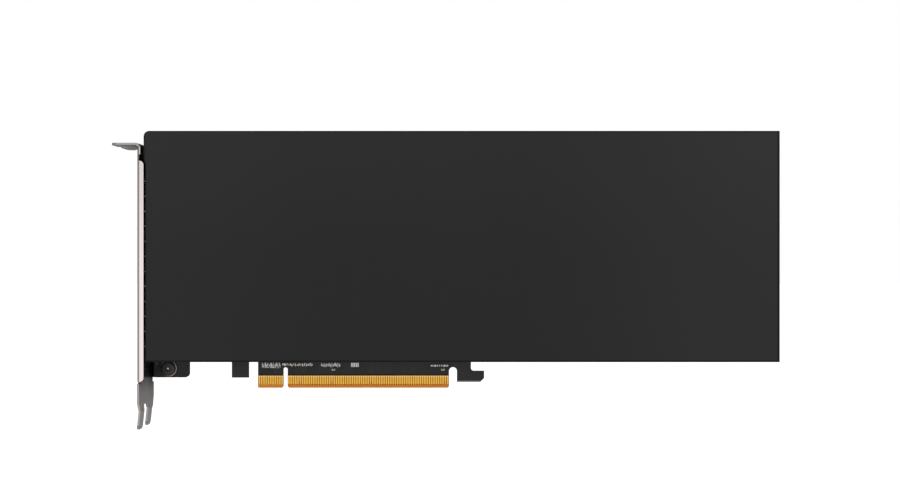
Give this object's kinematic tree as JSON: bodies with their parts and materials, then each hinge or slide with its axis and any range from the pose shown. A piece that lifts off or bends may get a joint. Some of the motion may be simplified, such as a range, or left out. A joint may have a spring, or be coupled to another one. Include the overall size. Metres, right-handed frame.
{
  "type": "passive accelerator card",
  "caption": "Full-height dual-slot passive accelerator card with a plain black cover, folded steel bracket, edge connector and finned cooler open at both ends.",
  "frame": {"origin": "middle of the edge connector's key notch, on the contacts' lower edge and in the middle of the board's thickness", "axes": "+X along the card from the bracket to the tail, -Y out of the component side, +Z away from the edge connector"},
  "size_m": [0.2825, 0.0429, 0.1264],
  "materials": {
    "board_mask": "satin",
    "gold": "polished",
    "chip_ceramic": "satin",
    "bracket_steel": "satin",
    "cover_black": "matte",
    "cast_frame": "satin",
    "copper": "satin",
    "fin_aluminium": "satin",
    "package_green": "satin",
    "silicon": "polished",
    "thermal_pad": "matte",
    "component_body": "matte",
    "backplate_black": "satin",
    "film_black": "satin",
    "spring_steel": "satin",
    "pad_foam": "matte",
    "screw_black": "satin",
    "screw_steel": "satin",
    "inlet_plastic": "satin"
  },
  "bodies": {
    "root": {"backplate": "backplate_black", "backplate_screws": "screw_black", "base_frame": "cast_frame", "board_screws": "screw_black", "bolster_pad": "pad_foam", "bolster_plate": "spring_steel", "bracket_screws": "screw_steel", "circuit_board": "board_mask", "clock_oscillator": "bracket_steel", "coupling_capacitors": "chip_ceramic", "die_thermal_pad": "thermal_pad", "edge_contacts_back": "gold", "edge_contacts_front": "gold", "fin_stack": "fin_aluminium", "flash_chip": "component_body", "gpu_die": "silicon", "gpu_substrate": "package_green", "grounding_rings": "copper", "inductors": "component_body", "insulating_film": "film_black", "io_bracket": "bracket_steel", "management_chip": "component_body", "memory_stacks": "silicon", "polymer_capacitors": "component_body", "power_inlet": "inlet_plastic", "power_inlet_pins": "gold", "power_stages": "component_body", "retention_screws": "screw_steel", "shroud": "cover_black", "shroud_screws": "screw_black", "small_passives": "chip_ceramic", "stiffener_ring": "bracket_steel", "vapour_chamber": "copper", "vrm_thermal_pads": "thermal_pad"}
  },
  "joints": []
}
